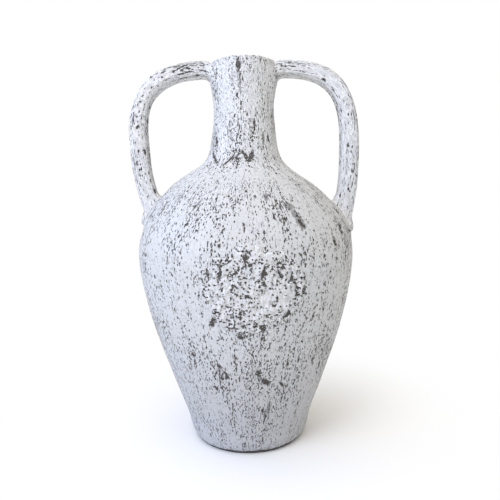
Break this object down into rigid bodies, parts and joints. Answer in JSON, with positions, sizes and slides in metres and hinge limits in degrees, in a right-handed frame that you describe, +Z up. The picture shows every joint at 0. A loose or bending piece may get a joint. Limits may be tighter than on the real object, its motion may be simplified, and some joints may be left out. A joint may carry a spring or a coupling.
{
  "type": "amphora",
  "caption": "Two-handled clay amphora with an egg-shaped body, a narrow round-throated neck, strap handles and a rough relief patch on its front, in distressed white slip.",
  "frame": {"origin": "centre of the flat underside that the amphora stands on", "axes": "+Z up through the neck, handles along X, the relief patch faces -Y"},
  "size_m": [0.3615, 0.343, 0.601],
  "materials": {
    "bare_clay": "matte",
    "inner_clay": "matte",
    "lower_slip": "matte",
    "body_slip": "matte",
    "shoulder_slip": "matte",
    "neck_slip": "matte",
    "handle_slip": "matte",
    "relief_slip": "matte"
  },
  "bodies": {
    "root": {"base_slab": "bare_clay", "floor_coil": "inner_clay", "lower_wall": "lower_slip", "belly_wall": "body_slip", "shoulder": "shoulder_slip", "neck_coil": "inner_clay", "neck": "neck_slip", "lip_ring": "neck_slip", "handle_left": "handle_slip", "handle_left_upper_pad": "handle_slip", "handle_left_lower_pad": "handle_slip", "handle_right": "handle_slip", "handle_right_upper_pad": "handle_slip", "handle_right_lower_pad": "handle_slip", "front_relief": "relief_slip"}
  },
  "joints": []
}
